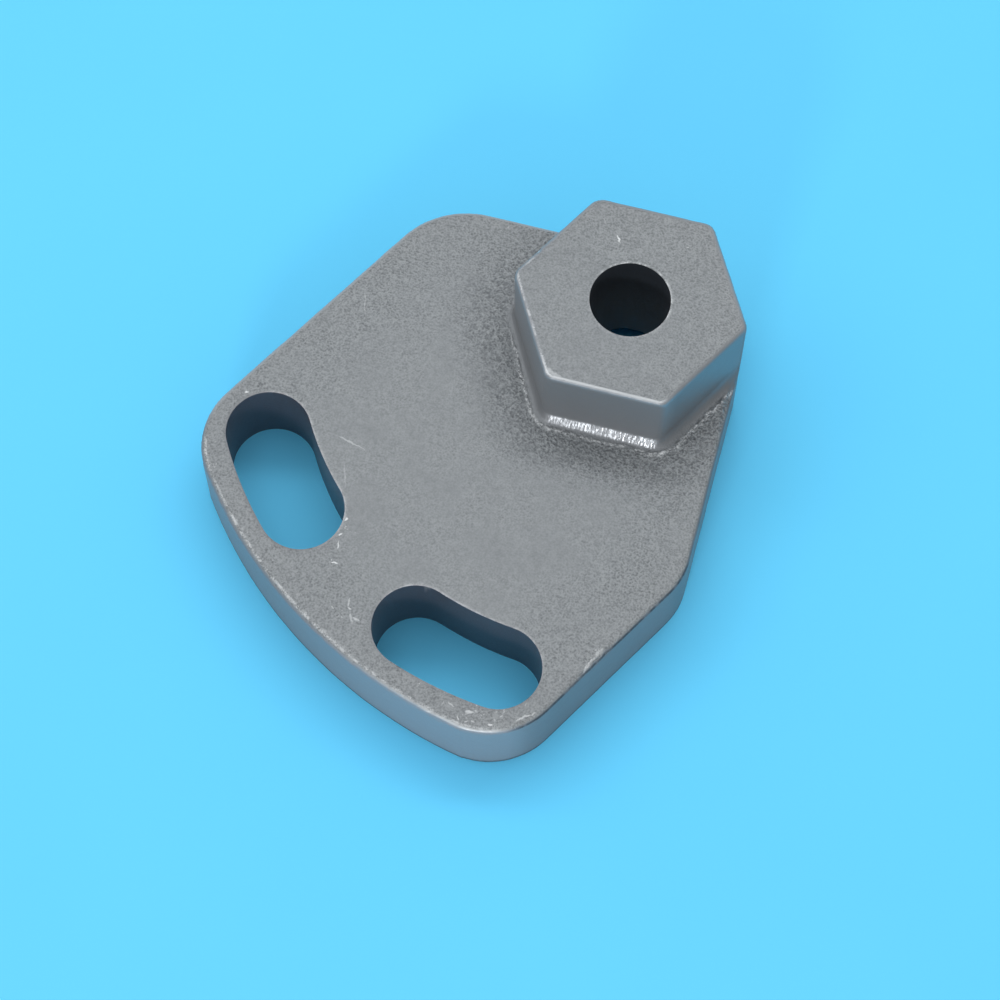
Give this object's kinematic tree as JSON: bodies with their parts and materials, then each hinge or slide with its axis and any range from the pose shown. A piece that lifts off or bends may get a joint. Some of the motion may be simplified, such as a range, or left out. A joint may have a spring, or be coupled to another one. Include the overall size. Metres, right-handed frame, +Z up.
{
  "type": "torsion bar bracket",
  "caption": "Cast bracket plate with a bored hexagonal wrench boss over one corner and curved clamp slots near the rim, for preloading and clamping a torsion bar.",
  "frame": {"origin": "on the bore axis, in the plane of the plate's underside", "axes": "+Z up along the bore, from the underside to the top of the hexagonal boss; +Y faces the flat of the hexagon that is flush with the plate's north side; +X towards the plate's east side; the plate and its slots lie towards -X and -Y"},
  "size_m": [0.0878, 0.0949, 0.032],
  "materials": {
    "cast_metal": "matte blasted as-cast grey"
  },
  "bodies": {
    "root": {"bracket_casting": "cast_metal"}
  },
  "joints": []
}
